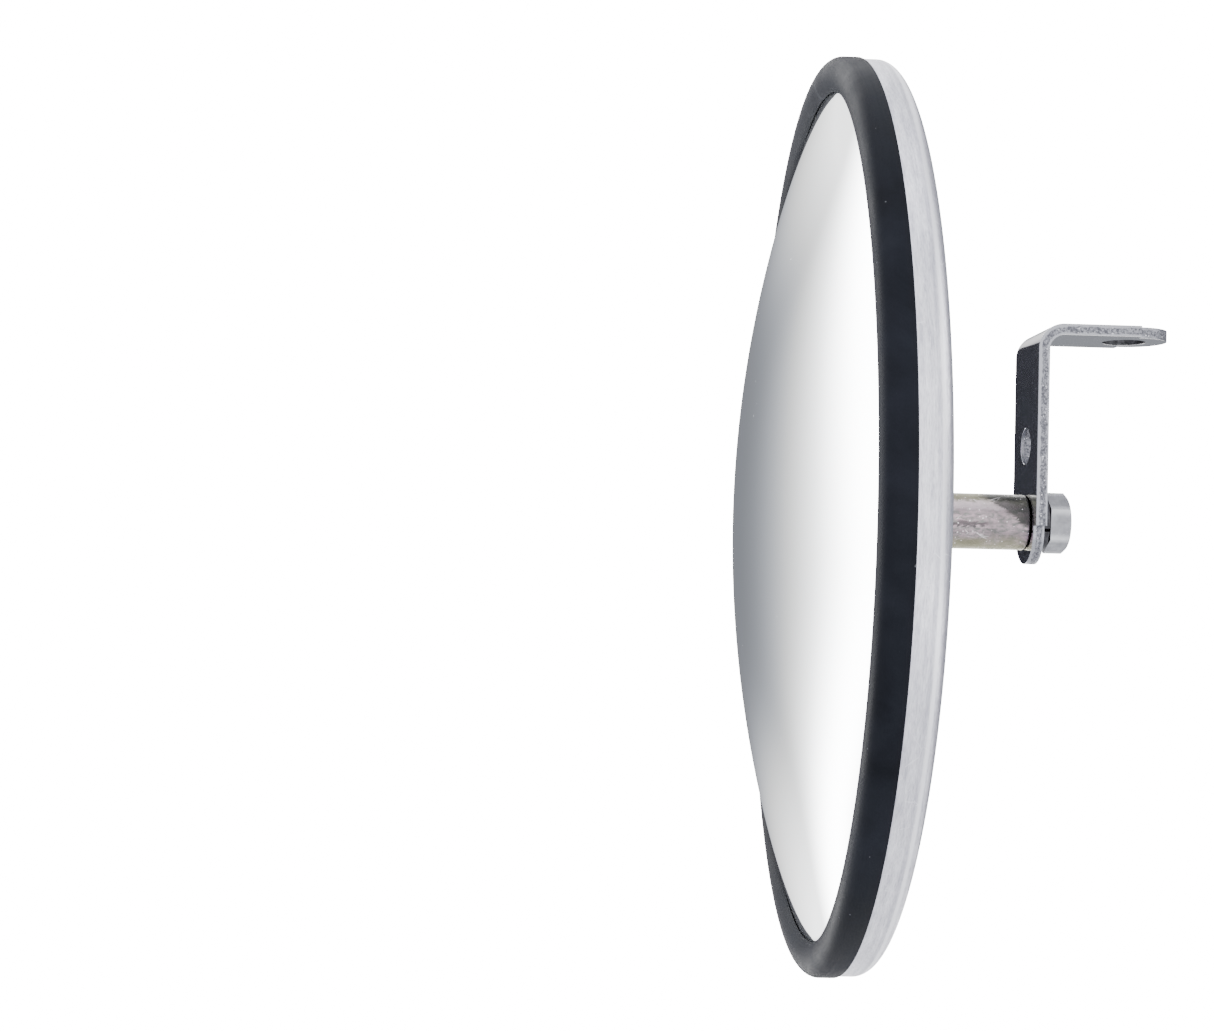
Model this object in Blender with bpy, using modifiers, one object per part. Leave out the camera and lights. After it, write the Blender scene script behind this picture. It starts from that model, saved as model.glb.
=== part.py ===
"""Traffic convex mirror: a polished dome in a rubber gasket, a sheet-steel back pan, a round
stem and an L bracket, held together by two hexagon bolts.

Metres, +Z up. The origin is the centre of the flange hole, on the flange's top face. The
mirror looks along -Y and its round axis runs along Y, level, below the flange.
"""

import math

import bmesh
import bpy

# Clearances
GAP = 0.0003                    # between two pieces that touch
HOLE_CLEARANCE = 0.0005         # added to a bolt's radius for the hole it passes through

# Mirror head: heights are measured forwards from the gasket's middle plane
OUTER_DIAMETER = 0.320
DOME_RISE = 0.026               # from the flat rim to the top of the dome
MIRROR_SHEET = 0.001
RIM_HEIGHT = 0.001              # front face of the dome's flat rim
RIM_WIDTH = 0.0057              # flat rim of the dome, held in the gasket's slot
BEAD_WIDTH = 0.0124             # across the gasket's rounded front
BEAD_RISE = 0.0048              # height of its rounded front
BEAD_REAR = 0.005               # depth of the gasket behind its middle plane
BEAD_LIP_ANGLE = math.radians(155)
SLOT_WALL = 0.0046              # rubber between the slot and the pan's edge
SPIGOT_DEPTH = 0.003            # rubber lip that stands inside the pan's wall
SPIGOT_THICKNESS = 0.002

# Back pan
PAN_SHEET = 0.001
PAN_INSET = 0.0006              # the pan's wall is this much inside the gasket
PAN_DEPTH = 0.0155              # from the gasket's middle plane to the pan's back
PAN_CORNER = 0.0045             # outer radius between wall and back
DOUBLER_DIAMETER = 0.080
DOUBLER_SHEET = 0.0025

# Stem
STEM_DIAMETER = 0.020
STEM_LENGTH = 0.0605            # from the pan's back to the bracket's face
STEM_CHAMFER = 0.0008

# Bracket of flat bar
BAR_WIDTH = 0.032
BAR_THICKNESS = 0.004
BEND_RADIUS = 0.009             # outer radius of the bend
END_RADIUS = 0.0125             # of both rounded ends
END_REACH = 0.015               # from a hole's centre to the bar's end
SHOULDER = 0.0015               # from a hole's centre to where the bar steps in
BRACKET_DROP = 0.070            # from the flange's top face to the bolt's axis
FLANGE_REACH = 0.035            # from the leg's front face to the flange hole
FLANGE_HOLE_DIAMETER = 0.015
SPARE_HOLE_RISE = 0.0275        # spare hole above the bolt's hole

# Bolts and lock washers
BOLT_DIAMETER = 0.012
BOLT_TIP_CHAMFER = 0.001
HEAD_FLATS = 0.019
HEAD_HEIGHT = 0.0075
HEAD_CHAMFER = math.radians(30)
HEAD_TURN = math.radians(5)     # how far the outer head stands from a corner straight up
CLAMP_BOLT_LENGTH = 0.025
INNER_BOLT_LENGTH = 0.020
WASHER_DIAMETER = 0.0211
WASHER_THICKNESS = 0.0025
WASHER_SPLIT = 0.0012

# Facets
RING_SEGMENTS = 72
SMALL_SEGMENTS = 40
ARC_STEPS = 6
BEAD_STEPS = 9
END_STEPS = 24
WELD = 0.00001                  # points closer than this become one
CUT_MARGIN = 0.004              # how far a cutter stands out past what it cuts

# Worked out from the sizes above
OUTER_RADIUS = OUTER_DIAMETER / 2
BEAD_CENTRE = OUTER_RADIUS - BEAD_WIDTH / 2
BOLT_RADIUS = BOLT_DIAMETER / 2
BORE_RADIUS = BOLT_RADIUS + GAP
HOLE_RADIUS = BOLT_RADIUS + HOLE_CLEARANCE
PAN_RADIUS = OUTER_RADIUS - PAN_INSET
PAN_BACK = -PAN_DEPTH
STEM_REAR = PAN_BACK - STEM_LENGTH
LEG_FRONT = -FLANGE_REACH       # y of the leg's front face
FACE_Y = LEG_FRONT + STEM_REAR  # y of the gasket's middle plane
AXIS_Z = -BRACKET_DROP
BEND_CENTRE = LEG_FRONT + BEND_RADIUS

FORWARDS = (math.pi / 2, 0, 0)  # local +Z points along -Y
REARWARDS = (-math.pi / 2, 0, 0)
ACROSS = (math.pi / 2, 0, math.pi / 2)  # an outline's x, y lie along Y, Z


# ---------------------------------------------------------------- scene

def clear_scene():
    for item in list(bpy.data.objects):
        bpy.data.objects.remove(item)


def make_collection(name):
    collection = bpy.data.collections.new(name)
    bpy.context.scene.collection.children.link(collection)
    return collection


def make_material(name, colour, roughness, metallic):
    material = bpy.data.materials.new(name)
    material.use_nodes = True
    shader = material.node_tree.nodes["Principled BSDF"]
    shader.inputs["Base Color"].default_value = (*colour, 1)
    shader.inputs["Roughness"].default_value = roughness
    shader.inputs["Metallic"].default_value = metallic
    return material


def place(name, data, collection, parent=None, location=(0, 0, 0), rotation=(0, 0, 0)):
    item = bpy.data.objects.new(name, data)
    collection.objects.link(item)
    item.parent = parent
    item.location = location
    item.rotation_euler = rotation
    return item


def hide_cutter(item):
    item.hide_render = True
    item.display_type = "WIRE"
    return item


# ---------------------------------------------------------------- shapes

def arc(centre, radii, start, end, steps=ARC_STEPS):
    """Points on an ellipse from one angle to another, ends included."""
    return [
        (
            centre[0] + radii[0] * math.cos(start + (end - start) * step / steps),
            centre[1] + radii[1] * math.sin(start + (end - start) * step / steps),
        )
        for step in range(steps + 1)
    ]


def turned(name, profile, closed, collection, parent, segments=RING_SEGMENTS):
    """A profile of (radius, height) points, turned round the local Z axis."""
    mesh = bpy.data.meshes.new(name)
    shape = bmesh.new()
    points = [shape.verts.new((radius, 0, height)) for radius, height in profile]
    for first, second in zip(points, points[1:]):
        shape.edges.new((first, second))
    if closed:
        shape.edges.new((points[-1], points[0]))
    shape.to_mesh(mesh)
    shape.free()
    item = place(name, mesh, collection, parent)
    screw = item.modifiers.new("turn", "SCREW")
    screw.steps = segments
    screw.render_steps = segments
    screw.use_merge_vertices = True
    screw.merge_threshold = WELD
    screw.use_smooth_shade = True
    return item


def outline_solid(name, points, thickness, collection, parent=None, location=(0, 0, 0),
                  rotation=(0, 0, 0)):
    """A flat closed outline with half its thickness on each side, as a closed mesh."""
    curve = bpy.data.curves.new(name, "CURVE")
    curve.dimensions = "2D"
    curve.fill_mode = "BOTH"
    curve.extrude = thickness / 2
    spline = curve.splines.new("POLY")
    spline.points.add(len(points) - 1)
    for point, (across, along) in zip(spline.points, points):
        point.co = (across, along, 0, 1)
    spline.use_cyclic_u = True
    guide = place(name + "_outline", curve, collection)
    seen = guide.evaluated_get(bpy.context.evaluated_depsgraph_get())
    mesh = bpy.data.meshes.new_from_object(seen)
    bpy.data.objects.remove(guide)
    shape = bmesh.new()
    shape.from_mesh(mesh)
    bmesh.ops.remove_doubles(shape, verts=shape.verts, dist=WELD)
    bmesh.ops.recalc_face_normals(shape, faces=shape.faces)
    shape.to_mesh(mesh)
    shape.free()
    return place(name, mesh, collection, parent, location, rotation)


def prism(name, radius, low, high, sides, collection, parent, turn=0.0):
    """A prism or cylinder between two heights on the local Z axis."""
    mesh = bpy.data.meshes.new(name)
    shape = bmesh.new()
    bmesh.ops.create_cone(shape, cap_ends=True, segments=sides, radius1=radius,
                          radius2=radius, depth=high - low)
    bmesh.ops.translate(shape, verts=shape.verts, vec=(0, 0, (low + high) / 2))
    shape.to_mesh(mesh)
    shape.free()
    return place(name, mesh, collection, parent, rotation=(0, 0, turn))


def cut(target, cutter, operation="DIFFERENCE"):
    """Use a hidden cutter on a piece with an exact Boolean."""
    boolean = target.modifiers.new(cutter.name, "BOOLEAN")
    boolean.operation = operation
    boolean.solver = "EXACT"
    boolean.object = hide_cutter(cutter)
    return boolean


# ---------------------------------------------------------------- mirror head

def build_mirror_dome(parts, head, material):
    """A spherical cap of even sheet with a flat rim."""
    edge = BEAD_CENTRE + BEAD_WIDTH / 2 * math.cos(BEAD_LIP_ANGLE) - GAP
    sphere = (edge ** 2 + DOME_RISE ** 2) / (2 * DOME_RISE)
    centre = (0, RIM_HEIGHT + DOME_RISE - sphere)
    rim = edge + RIM_WIDTH
    inner = sphere - MIRROR_SHEET
    rim_back = RIM_HEIGHT - MIRROR_SHEET
    lean = math.asin(edge / sphere)
    inner_lean = math.acos((rim_back - centre[1]) / inner)
    upright = math.pi / 2
    outside = arc(centre, (sphere, sphere), upright, upright - lean)
    inside = arc(centre, (inner, inner), upright - inner_lean, upright)
    profile = [(0, RIM_HEIGHT + DOME_RISE)] + outside[1:] + [(rim, RIM_HEIGHT), (rim, rim_back)]
    profile += inside[:-1] + [(0, RIM_HEIGHT + DOME_RISE - MIRROR_SHEET)]
    dome = turned("mirror_dome", profile, False, parts, head)
    dome.data.materials.append(material)
    return dome


def pan_inside(height):
    """The radius of the pan's inner face at a height, down its wall and into its corner."""
    below = max(0.0, PAN_BACK + PAN_CORNER - height)
    inner_radius = PAN_CORNER - PAN_SHEET
    return PAN_RADIUS - PAN_CORNER + math.sqrt(inner_radius ** 2 - below ** 2)


def build_rubber_gasket(parts, head, material):
    """A rounded bead with a slot for the mirror's rim and a spigot inside the pan."""
    lip = BEAD_CENTRE + BEAD_WIDTH / 2 * math.cos(BEAD_LIP_ANGLE)
    slot_floor = lip + RIM_WIDTH
    slot_front = RIM_HEIGHT + GAP
    slot_back = RIM_HEIGHT - MIRROR_SHEET - GAP
    spigot_tip = -BEAD_REAR - SPIGOT_DEPTH
    spigot_top_out = pan_inside(-BEAD_REAR) - GAP
    spigot_tip_out = pan_inside(spigot_tip) - GAP
    spigot_in = spigot_tip_out - SPIGOT_THICKNESS
    bead = arc((BEAD_CENTRE, 0), (BEAD_WIDTH / 2, BEAD_RISE), BEAD_LIP_ANGLE, 0, BEAD_STEPS)
    profile = bead + [
        (OUTER_RADIUS, -BEAD_REAR),
        (spigot_top_out, -BEAD_REAR),
        (spigot_tip_out, spigot_tip),
        (spigot_in, spigot_tip),
        (spigot_in, slot_back - SLOT_WALL),
        (lip, slot_back - SLOT_WALL),
        (lip, slot_back),
        (slot_floor, slot_back),
        (slot_floor, slot_front),
        (lip, slot_front),
    ]
    gasket = turned("rubber_gasket", profile, True, parts, head)
    gasket.data.materials.append(material)
    return gasket


def build_back_pan(parts, head, material):
    """A sheet-metal pan: low wall, soft corner and a flat back with the stem's hole."""
    wall_top = -BEAD_REAR - GAP
    corner = (PAN_RADIUS - PAN_CORNER, PAN_BACK + PAN_CORNER)
    inner_radius = PAN_CORNER - PAN_SHEET
    outside = arc(corner, (PAN_CORNER, PAN_CORNER), 0, -math.pi / 2)
    inside = arc(corner, (inner_radius, inner_radius), -math.pi / 2, 0)
    profile = [(PAN_RADIUS - PAN_SHEET, wall_top), (PAN_RADIUS, wall_top)] + outside
    profile += [(HOLE_RADIUS, PAN_BACK), (HOLE_RADIUS, PAN_BACK + PAN_SHEET)] + inside
    pan = turned("back_pan", profile, True, parts, head)
    pan.data.materials.append(material)
    return pan


def ring(name, inner, outer, low, high, parts, parent, segments):
    """A flat ring between two heights."""
    profile = [(inner, high), (outer, high), (outer, low), (inner, low)]
    return turned(name, profile, True, parts, parent, segments)


def build_doubler_plate(parts, head, material):
    low = PAN_BACK + PAN_SHEET + GAP
    plate = ring("doubler_plate", HOLE_RADIUS, DOUBLER_DIAMETER / 2, low,
                 low + DOUBLER_SHEET, parts, head, SMALL_SEGMENTS)
    plate.data.materials.append(material)
    return plate


def build_stem(parts, head, material):
    """A round bar with chamfered ends and a thread right through it."""
    front = PAN_BACK - GAP
    rear = STEM_REAR + GAP
    radius = STEM_DIAMETER / 2
    profile = [
        (BORE_RADIUS, front),
        (radius - STEM_CHAMFER, front),
        (radius, front - STEM_CHAMFER),
        (radius, rear + STEM_CHAMFER),
        (radius - STEM_CHAMFER, rear),
        (BORE_RADIUS, rear),
    ]
    stem = turned("stem_standoff", profile, True, parts, head, SMALL_SEGMENTS)
    stem.data.materials.append(material)
    return stem


# ---------------------------------------------------------------- fasteners

def build_bolt(name, length, seat, turn, parts, cutters, parent, material):
    """A hexagon bolt. Its head stands on `seat`, and its shank runs back down local Z."""
    corner = HEAD_FLATS / 2 / math.cos(math.pi / 6)
    top = seat + HEAD_HEIGHT
    flat_top = HEAD_FLATS / 2
    fall = (corner + CUT_MARGIN - flat_top) * math.tan(HEAD_CHAMFER)
    bolt = prism(name, corner, seat, top, 6, parts, parent, turn)
    chamfer = [
        (0, top),
        (flat_top, top),
        (corner + CUT_MARGIN, top - fall),
        (corner + CUT_MARGIN, seat - CUT_MARGIN),
        (0, seat - CUT_MARGIN),
    ]
    trimmer = turned(name + "_chamfer", chamfer, False, cutters, parent, SMALL_SEGMENTS)
    cut(bolt, trimmer, "INTERSECT")
    tip = seat - length
    shank = [
        (0, seat + HEAD_HEIGHT / 2),
        (BOLT_RADIUS, seat + HEAD_HEIGHT / 2),
        (BOLT_RADIUS, tip + BOLT_TIP_CHAMFER),
        (BOLT_RADIUS - BOLT_TIP_CHAMFER, tip),
        (0, tip),
    ]
    cut(bolt, turned(name + "_shank", shank, False, cutters, parent, SMALL_SEGMENTS), "UNION")
    bolt.data.materials.append(material)
    return bolt


def build_lock_washer(name, seat, parts, cutters, parent, material):
    """A split spring washer lying on `seat`, pressed flat."""
    washer = ring(name, BORE_RADIUS, WASHER_DIAMETER / 2, seat, seat + WASHER_THICKNESS,
                  parts, parent, SMALL_SEGMENTS)
    half = WASHER_DIAMETER / 2 + CUT_MARGIN
    slot = [(0, -WASHER_SPLIT / 2), (half, -WASHER_SPLIT / 2), (half, WASHER_SPLIT / 2),
            (0, WASHER_SPLIT / 2)]
    middle = (0, 0, seat + WASHER_THICKNESS / 2)
    thickness = WASHER_THICKNESS + 2 * CUT_MARGIN
    cut(washer, outline_solid(name + "_split", slot, thickness, cutters, parent, middle))
    washer.data.materials.append(material)
    return washer


# ---------------------------------------------------------------- bracket

def end_waste():
    """What is cut off a bar's end: all but a narrower round end past its shoulders."""
    side = BAR_WIDTH / 2 + CUT_MARGIN
    far = END_REACH + CUT_MARGIN
    centre = (0, END_REACH - END_RADIUS)
    round_end = arc(centre, (END_RADIUS, END_RADIUS), math.pi, 0, END_STEPS)
    tongue = [(-END_RADIUS, SHOULDER)] + round_end + [(END_RADIUS, SHOULDER)]
    return [(-side, SHOULDER)] + tongue + [(side, SHOULDER), (side, far), (-side, far)]


def build_bracket(parts, cutters, axis, material):
    """An L of flat bar: a flange on top, a leg in front, rounded ends and three holes."""
    inner_bend = BEND_RADIUS - BAR_THICKNESS
    bend = (BEND_CENTRE, -BEND_RADIUS)
    leg_back = LEG_FRONT + BAR_THICKNESS
    leg_end = AXIS_Z - END_REACH
    section = [(END_REACH, 0)]
    section += arc(bend, (BEND_RADIUS, BEND_RADIUS), math.pi / 2, math.pi)
    section += [(LEG_FRONT, leg_end), (leg_back, leg_end)]
    section += arc(bend, (inner_bend, inner_bend), math.pi, math.pi / 2)
    section += [(END_REACH, -BAR_THICKNESS)]
    bracket = outline_solid("wall_bracket", section, BAR_WIDTH, parts, rotation=ACROSS)
    through = BAR_THICKNESS + 2 * CUT_MARGIN
    middle = BAR_THICKNESS / 2
    cut(bracket, outline_solid("leg_end", end_waste(), through, cutters, axis,
                               (0, 0, middle)))
    cut(bracket, outline_solid("flange_end", end_waste(), through, cutters,
                               location=(0, 0, -middle)))
    low = -CUT_MARGIN
    high = BAR_THICKNESS + CUT_MARGIN
    cut(bracket, prism("flange_hole", FLANGE_HOLE_DIAMETER / 2, -high, -low,
                       SMALL_SEGMENTS, cutters, None))
    cut(bracket, prism("bolt_hole", HOLE_RADIUS, low, high, SMALL_SEGMENTS, cutters, axis))
    spare = prism("spare_hole", HOLE_RADIUS, low, high, SMALL_SEGMENTS, cutters, axis)
    spare.location.y = -SPARE_HOLE_RISE
    cut(bracket, spare)
    bracket.data.materials.append(material)
    return bracket


# ---------------------------------------------------------------- assembly

def main():
    clear_scene()
    parts = make_collection("traffic_convex_mirror")
    cutters = make_collection("cutters")
    head = place("head_axis", None, parts, None, (0, FACE_Y, AXIS_Z), FORWARDS)
    clamp = place("clamp_axis", None, parts, None, (0, LEG_FRONT, AXIS_Z), REARWARDS)

    mirror = make_material("mirror_polish", (0.80, 0.82, 0.84), 0.05, 1.0)
    rubber = make_material("black_rubber", (0.025, 0.028, 0.035), 0.55, 0.0)
    brushed = make_material("brushed_stainless", (0.66, 0.66, 0.69), 0.32, 1.0)
    zinc = make_material("yellow_zinc", (0.62, 0.56, 0.50), 0.38, 1.0)
    polished = make_material("polished_stainless", (0.74, 0.75, 0.77), 0.12, 1.0)
    bolt_steel = make_material("bolt_steel", (0.52, 0.53, 0.55), 0.36, 1.0)
    spring_steel = make_material("spring_steel", (0.16, 0.16, 0.17), 0.45, 1.0)

    build_mirror_dome(parts, head, mirror)
    build_rubber_gasket(parts, head, rubber)
    build_back_pan(parts, head, brushed)
    build_doubler_plate(parts, head, brushed)
    build_stem(parts, head, zinc)
    inner_seat = PAN_BACK + PAN_SHEET + GAP + DOUBLER_SHEET + GAP
    build_lock_washer("inner_lock_washer", inner_seat, parts, cutters, head, spring_steel)
    build_bolt("inner_bolt", INNER_BOLT_LENGTH, inner_seat + WASHER_THICKNESS + GAP, 0.0,
               parts, cutters, head, bolt_steel)

    build_bracket(parts, cutters, clamp, polished)
    outer_seat = BAR_THICKNESS + GAP
    build_lock_washer("clamp_lock_washer", outer_seat, parts, cutters, clamp, spring_steel)
    build_bolt("clamp_bolt", CLAMP_BOLT_LENGTH, outer_seat + WASHER_THICKNESS + GAP,
               HEAD_TURN, parts, cutters, clamp, bolt_steel)


main()
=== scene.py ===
"""A convex traffic mirror on a wall bracket, dressed and lit in a plain studio.

Lengths are in metres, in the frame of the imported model: the origin is the centre of the
flange's hole on the flange's top face, +Z is up, and the mirror faces -Y. The turned parts of
the head share one axis, which runs along Y through the clamping bolt.
"""

import logging
import math
from dataclasses import dataclass, field
from enum import Enum

import bmesh
import bpy
from mathutils import Matrix, Vector


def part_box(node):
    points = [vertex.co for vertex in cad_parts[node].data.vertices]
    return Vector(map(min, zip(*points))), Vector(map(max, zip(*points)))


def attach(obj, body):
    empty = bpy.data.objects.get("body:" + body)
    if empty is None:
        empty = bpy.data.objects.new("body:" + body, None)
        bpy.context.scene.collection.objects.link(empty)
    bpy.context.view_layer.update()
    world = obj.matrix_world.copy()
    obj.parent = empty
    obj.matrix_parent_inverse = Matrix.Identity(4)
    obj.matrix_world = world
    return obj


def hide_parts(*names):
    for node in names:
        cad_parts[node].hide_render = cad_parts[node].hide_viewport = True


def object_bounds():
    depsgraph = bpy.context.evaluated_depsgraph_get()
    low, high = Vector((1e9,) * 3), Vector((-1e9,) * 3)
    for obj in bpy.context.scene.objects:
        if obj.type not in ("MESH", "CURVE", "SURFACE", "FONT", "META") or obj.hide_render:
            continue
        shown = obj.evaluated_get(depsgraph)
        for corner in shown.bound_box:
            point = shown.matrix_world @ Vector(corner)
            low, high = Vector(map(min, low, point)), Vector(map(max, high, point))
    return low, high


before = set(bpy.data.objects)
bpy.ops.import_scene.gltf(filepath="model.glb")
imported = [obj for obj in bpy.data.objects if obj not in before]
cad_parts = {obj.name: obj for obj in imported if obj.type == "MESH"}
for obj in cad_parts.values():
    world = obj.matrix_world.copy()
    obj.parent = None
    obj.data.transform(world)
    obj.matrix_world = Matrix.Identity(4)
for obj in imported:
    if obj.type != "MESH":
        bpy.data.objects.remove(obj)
CAD_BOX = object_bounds()

WELD = 0.000004             # points closer than this become one
MARGIN = 0.004              # how far a cutter stands out past what it cuts
QUARTER = math.pi / 2
TURN_AXIS = Vector((0, 1, 0))

Shape = bmesh.types.BMesh
Material = bpy.types.Material
Socket = bpy.types.NodeSocket
Triple = tuple[float, float, float]

log = logging.getLogger("traffic_mirror")


# ---------------------------------------------------------------- named choices

class Body(Enum):
    """The bodies that pieces ride on."""

    BRACKET = "bracket"
    HEAD = "mirror_head"
    WASHER = "clamp_washer"
    BOLT = "clamp_bolt"


class Slot(Enum):
    """The record's material slots."""

    MIRROR = "mirror_polish"
    RUBBER = "black_rubber"
    BRUSHED = "brushed_stainless"
    ZINC = "yellow_zinc"
    POLISHED = "polished_stainless"
    BOLT_STEEL = "bolt_steel"
    SPRING_STEEL = "spring_steel"


class Carve(Enum):
    """What one solid does to another."""

    AWAY = "DIFFERENCE"
    COMMON = "INTERSECT"
    JOIN = "UNION"


# ---------------------------------------------------------------- node graphs

class Value:
    """A node's output, which the signs of arithmetic join to Math nodes."""

    def __init__(self, graph: "Graph", socket: Socket) -> None:
        """Hold an output of a graph."""
        self.graph = graph
        self.socket = socket

    def __add__(self, other: object) -> "Value":
        """Return the sum."""
        return self.graph.math("ADD", self, other)

    def __sub__(self, other: object) -> "Value":
        """Return the difference."""
        return self.graph.math("SUBTRACT", self, other)

    def __rsub__(self, other: object) -> "Value":
        """Return a constant less this value."""
        return self.graph.math("SUBTRACT", other, self)

    def __mul__(self, other: object) -> "Value":
        """Return the product."""
        return self.graph.math("MULTIPLY", self, other)

    def __truediv__(self, other: object) -> "Value":
        """Return the quotient."""
        return self.graph.math("DIVIDE", self, other)

    def __abs__(self) -> "Value":
        """Return the value without its sign."""
        return self.graph.math("ABSOLUTE", self)


class Graph:
    """A node tree with short ways to add and join nodes."""

    def __init__(self, tree: bpy.types.NodeTree) -> None:
        """Take over a node tree."""
        self.tree = tree

    def add(self, kind: str, **settings: object) -> bpy.types.Node:
        """Add a node.

        Args:
            kind: The node's type.
            **settings: Properties to set on it.

        Returns:
            The new node.
        """
        node = self.tree.nodes.new(kind)
        for name, value in settings.items():
            setattr(node, name, value)
        return node

    def feed(self, socket: Socket, value: object) -> None:
        """Link a socket to another, or set it to a constant.

        Args:
            socket: The input to feed.
            value: An output, or a constant.
        """
        if isinstance(value, Value):
            value = value.socket
        if isinstance(value, Socket):
            self.tree.links.new(value, socket)
        else:
            socket.default_value = value

    def math(self, operation: str, *terms: object, clamp: bool = False) -> Value:
        """Add a Math node.

        Args:
            operation: The node's operation.
            *terms: Its values or outputs.
            clamp: Whether the result is kept from 0 to 1.

        Returns:
            The node's output.
        """
        node = self.add("ShaderNodeMath", operation=operation, use_clamp=clamp)
        for socket, term in zip(node.inputs, terms):
            self.feed(socket, term)
        return Value(self, node.outputs[0])

    def vector(self, operation: str, *terms: object, scale: object = None) -> Value:
        """Add a Vector Math node.

        Args:
            operation: The node's operation.
            *terms: Its vectors or outputs.
            scale: Its factor, where the operation has one.

        Returns:
            The node's result, a length where the operation gives one.
        """
        node = self.add("ShaderNodeVectorMath", operation=operation)
        for socket, term in zip(node.inputs, terms):
            self.feed(socket, term)
        if scale is not None:
            self.feed(node.inputs["Scale"], scale)
        return Value(self, node.outputs["Value" if operation == "LENGTH" else "Vector"])

    def split(self, vector: object) -> list[Value]:
        """Return a vector's three parts."""
        node = self.add("ShaderNodeSeparateXYZ")
        self.feed(node.inputs[0], vector)
        return [Value(self, part) for part in node.outputs]

    def ease(self, value: object, low: object, high: object, out_low: float = 0.0,
             out_high: float = 1.0) -> Value:
        """Pass smoothly from one value to another.

        Args:
            value: What drives the change.
            low: Where it starts.
            high: Where it ends.
            out_low: The result before the start.
            out_high: The result after the end.

        Returns:
            The eased value.
        """
        node = self.add("ShaderNodeMapRange", interpolation_type="SMOOTHSTEP")
        for socket, given in zip(node.inputs, (value, low, high, out_low, out_high)):
            self.feed(socket, given)
        return Value(self, node.outputs["Result"])

    def band(self, value: Value, centre: float, half: float) -> Value:
        """Return one at a value, fading to nothing on both sides of it.

        Args:
            value: What is looked at.
            centre: Where the band is.
            half: Its half width.

        Returns:
            The band.
        """
        return self.ease(abs(value - centre), half, half * 0.3)

    def contrast(self, value: Value, factor: object) -> Value:
        """Stretch a value about one half and keep it from 0 to 1."""
        return self.math("ADD", (value - 0.5) * factor, 0.5, clamp=True)

    def noise(self, vector: object, scale: object, detail: float = 3.0,
              roughness: float = 0.55, distortion: float = 0.0) -> Value:
        """Add a Noise texture.

        Args:
            vector: Where it is read.
            scale: Its scale.
            detail: Its octaves.
            roughness: How strong the finer octaves are.
            distortion: How far it is warped.

        Returns:
            A value around one half.
        """
        node = self.add("ShaderNodeTexNoise")
        for name, given in (("Vector", vector), ("Scale", scale), ("Detail", detail),
                            ("Roughness", roughness), ("Distortion", distortion)):
            self.feed(node.inputs[name], given)
        return Value(self, node.outputs["Fac"])

    def blend(self, share: object, first: object, second: object) -> Value:
        """Mix two colours.

        Args:
            share: How much of the second there is.
            first: The first colour or socket.
            second: The second colour or socket.

        Returns:
            The mixed colour.
        """
        node = self.add("ShaderNodeMix", data_type="RGBA")
        sockets = [item for item in node.inputs if item.enabled]
        for socket, value in zip(sockets, (share, first, second)):
            if isinstance(value, tuple) and len(value) == 3:
                value = (*value, 1.0)
            self.feed(socket, value)
        return Value(self, next(item for item in node.outputs if item.enabled))

    def layers(self, base: object, *coats: tuple[object, object]) -> Value:
        """Lay colours over a colour.

        Args:
            base: The lowest colour.
            *coats: How much there is of each further one, and the colour.

        Returns:
            The colour on top.
        """
        for share, colour in coats:
            base = self.blend(share, base, colour)
        return base

    def group(self, tree: bpy.types.NodeTree, **values: object) -> Value:
        """Place a shared group.

        Args:
            tree: The group.
            **values: Its inputs by name.

        Returns:
            Its one output.
        """
        node = self.add("ShaderNodeGroup", node_tree=tree)
        for name, value in values.items():
            self.feed(node.inputs[name], value)
        return Value(self, node.outputs[0])

    def mapped(self, vector: object, scale: Triple, turn: Triple = (0, 0, 0)) -> Value:
        """Send a vector through a Mapping node.

        Args:
            vector: The vector.
            scale: How far each axis is stretched.
            turn: The rotation.

        Returns:
            The mapped vector.
        """
        node = self.add("ShaderNodeMapping")
        for name, given in (("Vector", vector), ("Rotation", turn), ("Scale", scale)):
            self.feed(node.inputs[name], given)
        return Value(self, node.outputs["Vector"])

    def stretched(self, scale: Triple, centre: Triple = (0, 0, 0),
                  turn: Triple = (0, 0, 0)) -> Value:
        """Read Object coordinates through a Mapping node.

        Args:
            scale: How far each axis is stretched.
            centre: The point that becomes the pattern's origin.
            turn: The pattern's rotation.

        Returns:
            The mapped vector.
        """
        place = self.add("ShaderNodeTexCoord").outputs["Object"]
        return self.mapped(self.vector("SUBTRACT", place, centre), scale, turn)


@dataclass(frozen=True)
class Effect:
    """A shared effect: a node group with named inputs and one output."""

    name: str
    output: str

    def open(self, **inputs: float) -> tuple[Graph, dict[str, Value]]:
        """Start the group's tree.

        Args:
            **inputs: The number inputs' names and usual values.

        Returns:
            The graph, and its inputs by name.
        """
        tree = bpy.data.node_groups.new(self.name, "ShaderNodeTree")
        tree.interface.new_socket("Vector", in_out="INPUT", socket_type="NodeSocketVector")
        for label, value in inputs.items():
            made = tree.interface.new_socket(label, in_out="INPUT",
                                             socket_type="NodeSocketFloat")
            made.default_value = value
        tree.interface.new_socket(self.output, in_out="OUTPUT",
                                  socket_type="NodeSocketFloat")
        graph = Graph(tree)
        source = graph.add("NodeGroupInput")
        return graph, {item.name: Value(graph, item) for item in source.outputs}

    def close(self, result: Value) -> bpy.types.NodeTree:
        """Give the group its output and return its tree."""
        graph = result.graph
        graph.feed(graph.add("NodeGroupOutput").inputs[0], result)
        return graph.tree

    def cells(self, graph: Graph, read: dict[str, Value], **settings: str) -> bpy.types.Node:
        """Add a Voronoi texture.

        Args:
            graph: The group's graph.
            read: Its inputs by name.
            **settings: Properties to set on the texture.

        Returns:
            The texture's node.
        """
        node = graph.add("ShaderNodeTexVoronoi", **settings)
        for name in ("Vector", "Scale"):
            graph.feed(node.inputs[name], read[name])
        return node


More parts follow.
